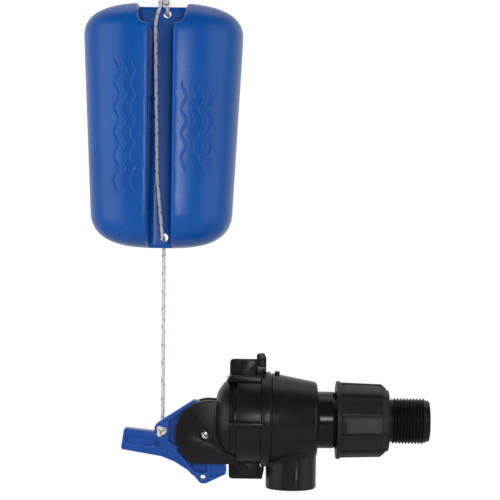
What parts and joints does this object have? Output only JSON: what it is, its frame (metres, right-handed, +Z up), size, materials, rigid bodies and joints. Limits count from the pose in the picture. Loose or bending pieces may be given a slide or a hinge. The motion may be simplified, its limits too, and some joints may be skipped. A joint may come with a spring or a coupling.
{
  "type": "float valve",
  "caption": "Pilot-operated float valve: diaphragm valve body with a union-nut threaded inlet and a downward outlet, a pilot lever between two cap ears, and a hollow float on a cord.",
  "frame": {"origin": "centre of the inlet tail's free end, on the valve's axis", "axes": "+X along the valve's axis and out of the inlet, +Z up towards the float, Y along the lever's pin"},
  "size_m": [0.2511, 0.0952, 0.3502],
  "materials": {
    "body_black": "satin moulded nylon",
    "nut_black": "matte moulded nylon",
    "rubber": "moulded rubber",
    "inner_plastic": "natural acetal",
    "steel": "stainless steel",
    "brass": "turned brass",
    "lever_blue": "satin moulded plastic",
    "float_blue": "glossy blow-moulded polyethylene",
    "cord": "braided white cord with coloured flecks"
  },
  "bodies": {
    "valve": {"valve_body": "body_black", "front_cap": "body_black", "inlet_tail": "body_black", "tail_washer": "rubber", "diaphragm": "rubber", "return_spring": "steel", "pilot_jet": "brass", "lever_pin": "steel"},
    "nut": {"union_nut": "nut_black"},
    "main_valve": {"valve_disc": "rubber", "diaphragm_plate": "inner_plastic", "disc_washer": "steel", "centre_screw": "steel", "centre_nut": "steel"},
    "pilot_lever": {"lever": "lever_blue", "pilot_seal": "rubber"},
    "float_line": {"float_shell": "float_blue", "float_plug_left": "float_blue", "float_plug_right": "float_blue", "cord_lower": "cord", "cord_upper": "cord", "tie_loop": "cord", "lever_knot": "cord", "top_knot": "cord"}
  },
  "joints": [
    {"name": "nut_spin", "type": "hinge", "parent": "valve", "child": "nut", "pos_m": [-0.048, 0, 0], "axis": [1, 0, 0], "continuous": true},
    {"name": "lever_pivot", "type": "hinge", "parent": "valve", "child": "pilot_lever", "pos_m": [-0.1607, 0, -0.011], "axis": [0, 1, 0], "range_deg": [-2.5, 14]},
    {"name": "cord_swing", "type": "hinge", "parent": "pilot_lever", "child": "float_line", "pos_m": [-0.192, 0, -0.0088], "axis": [0, 1, 0], "range_deg": [-14.2, 2.7]},
    {"name": "main_valve_slide", "type": "slide", "parent": "valve", "child": "main_valve", "axis": [1, 0, 0], "range_m": [-0.00084, 0.00462], "deforming": ["diaphragm", "return_spring"]}
  ],
  "couplings": [
    {"joint": "cord_swing", "follows": "lever_pivot", "ratio": -1},
    {"joint": "main_valve_slide", "follows": "lever_pivot", "m_per_rad": 0.018826}
  ]
}
